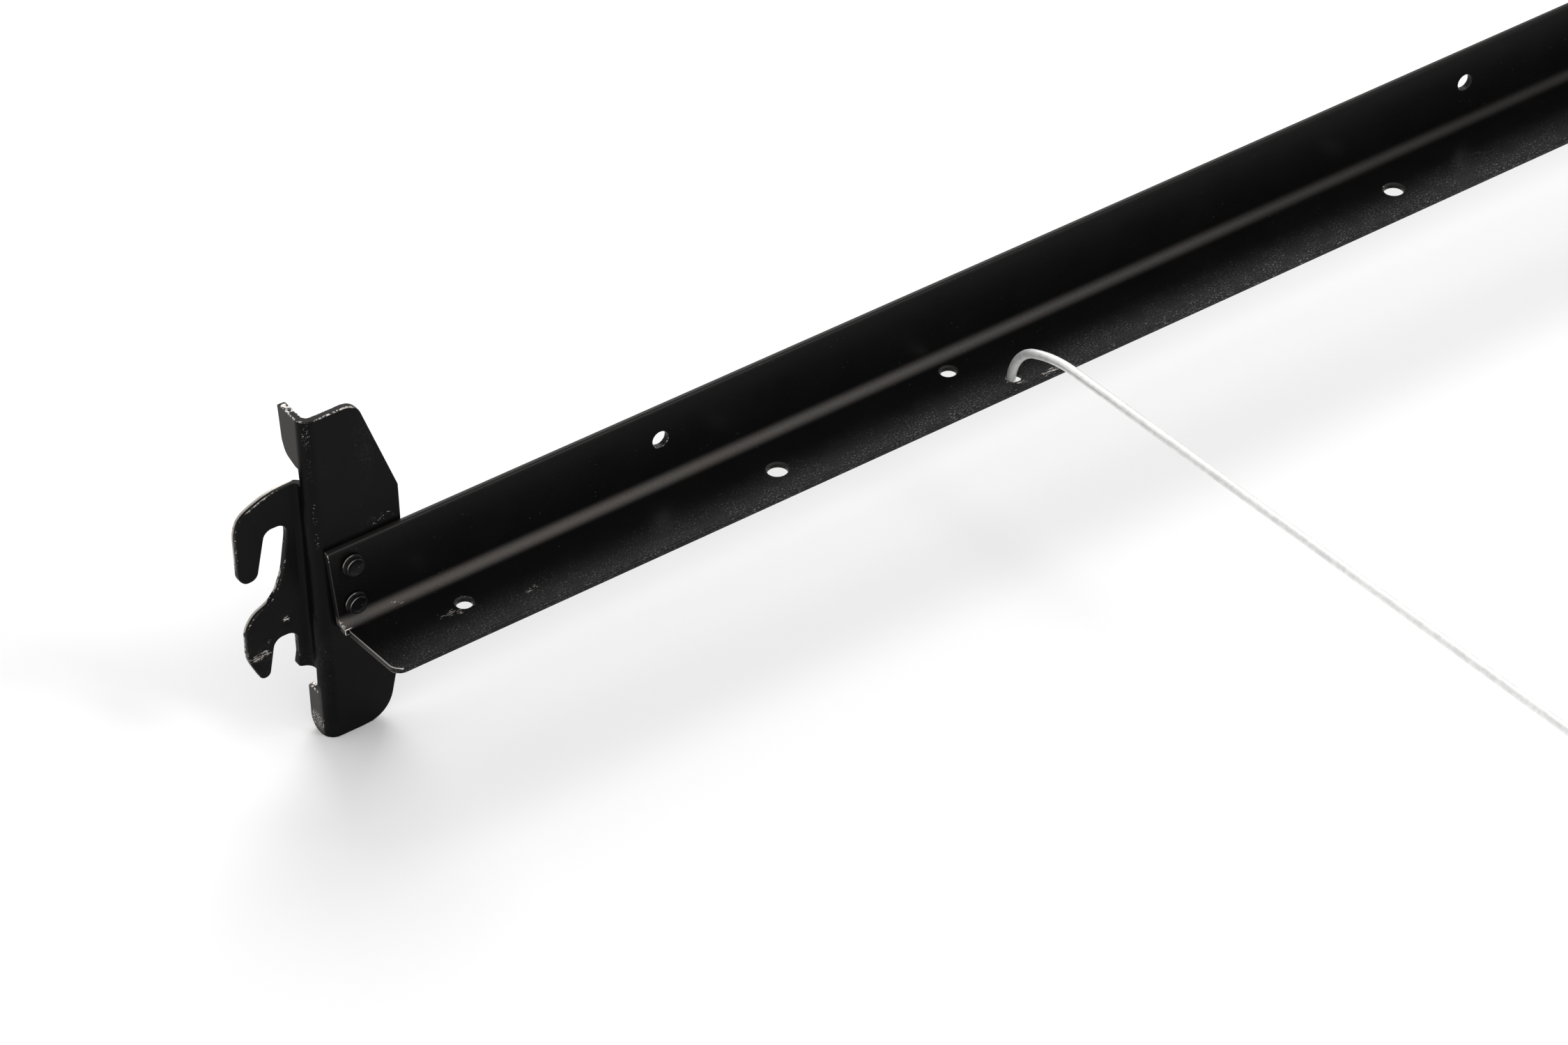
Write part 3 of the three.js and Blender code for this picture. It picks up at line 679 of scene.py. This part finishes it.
for suffix in SUFFIXES:
    place = RAIL_FRAMES[suffix]
    rounded(f"side_rail_{suffix}", f"rail_{suffix}", place, RAIL_EDGE_R, rail_cut, rail_paint)
    for end in ENDS:
        at_end = place @ Matrix.Translation((0.0 if end == "left" else RAIL_LENGTH, 0, 0))
        node = f"hook_bracket_{suffix}_{end}"
        name = f"bracket_{suffix}_{end}"
        rounded(node, name, at_end, PLATE_EDGE_R, bracket_cut, bracket_paint[end])
        for level in LEVELS:
            rivet(suffix, end, level)

wire_run = Vector(JOINTS["far_rail_swing"]["pos_m"]) - Vector(JOINTS["fold"]["pos_m"])
wire("left", "fold", wire_run)
wire("middle", "middle_wire_swing", wire_run)
wire("right", "right_wire_swing", wire_run)

# ---- Studio: pale floor, white surroundings, two soft boxes ----

FLOOR_HALF = 9.0
work = bmesh.new()
bmesh.ops.create_grid(work, x_segments=2, y_segments=2, size=FLOOR_HALF)
floor_mesh = bpy.data.meshes.new("floor")
work.to_mesh(floor_mesh)
work.free()
floor = link("floor", floor_mesh)
pale = Shader("pale_floor")
pale.set(Base_Color=(0.86, 0.86, 0.86, 1.0))
pale.surface.inputs["Roughness"].default_value = 0.9
pale.surface.inputs["Specular IOR Level"].default_value = 0.1
floor_mesh.materials.append(pale.material)


def soft_box(name, direction, distance, size, radiance):
    """A square lamp, aimed at rail a's left end from a direction and distance."""
    data = bpy.data.lights.new(name, "AREA")
    data.shape = "SQUARE"
    data.size = size
    data.energy = radiance * math.pi * size * size
    lamp = bpy.data.objects.new(name, data)
    bpy.context.scene.collection.objects.link(lamp)
    away = Vector(direction).normalized()
    lamp.location = RAIL_CORNER + away * distance
    lamp.rotation_euler = away.to_track_quat("Z", "Y").to_euler()


soft_box("back_soft_box", (0.44, 0.65, 0.62), 2.6, 1.7, 3.6)
soft_box("key_soft_box", (0.44, -0.62, 0.65), 2.2, 0.55, 13.0)

world = bpy.data.worlds.new("studio")
world.use_nodes = True
backdrop = world.node_tree.nodes["Background"]
backdrop.inputs["Color"].default_value = (1.0, 1.0, 1.0, 1.0)
backdrop.inputs["Strength"].default_value = 0.85
bpy.context.scene.world = world
bpy.context.scene.view_settings.view_transform = "Standard"

# ---- Camera: high on the left, looking along the rail from its bracket end ----

CAMERA_AZIMUTH = math.radians(34.26)
CAMERA_ELEVATION = math.radians(38.43)
CAMERA_ROLL = math.radians(1.623)
CAMERA_FROM_CORNER = Vector((-0.87355, -1.58823, 1.47763))
LENS = 142.0

forward = Vector((
    math.sin(CAMERA_AZIMUTH) * math.cos(CAMERA_ELEVATION),
    math.cos(CAMERA_AZIMUTH) * math.cos(CAMERA_ELEVATION),
    -math.sin(CAMERA_ELEVATION),
))
across = Vector((math.cos(CAMERA_AZIMUTH), -math.sin(CAMERA_AZIMUTH), 0.0))
right = across * math.cos(CAMERA_ROLL) - across.cross(forward) * math.sin(CAMERA_ROLL)
turn = Matrix((right, right.cross(forward), -forward)).transposed().to_4x4()
lens = bpy.data.cameras.new("camera")
lens.lens = LENS
lens.sensor_width = 36.0
lens.clip_start = 0.05
lens.clip_end = 60.0
camera = bpy.data.objects.new("camera", lens)
bpy.context.scene.collection.objects.link(camera)
camera.matrix_world = Matrix.Translation(RAIL_CORNER + CAMERA_FROM_CORNER) @ turn
bpy.context.scene.camera = camera
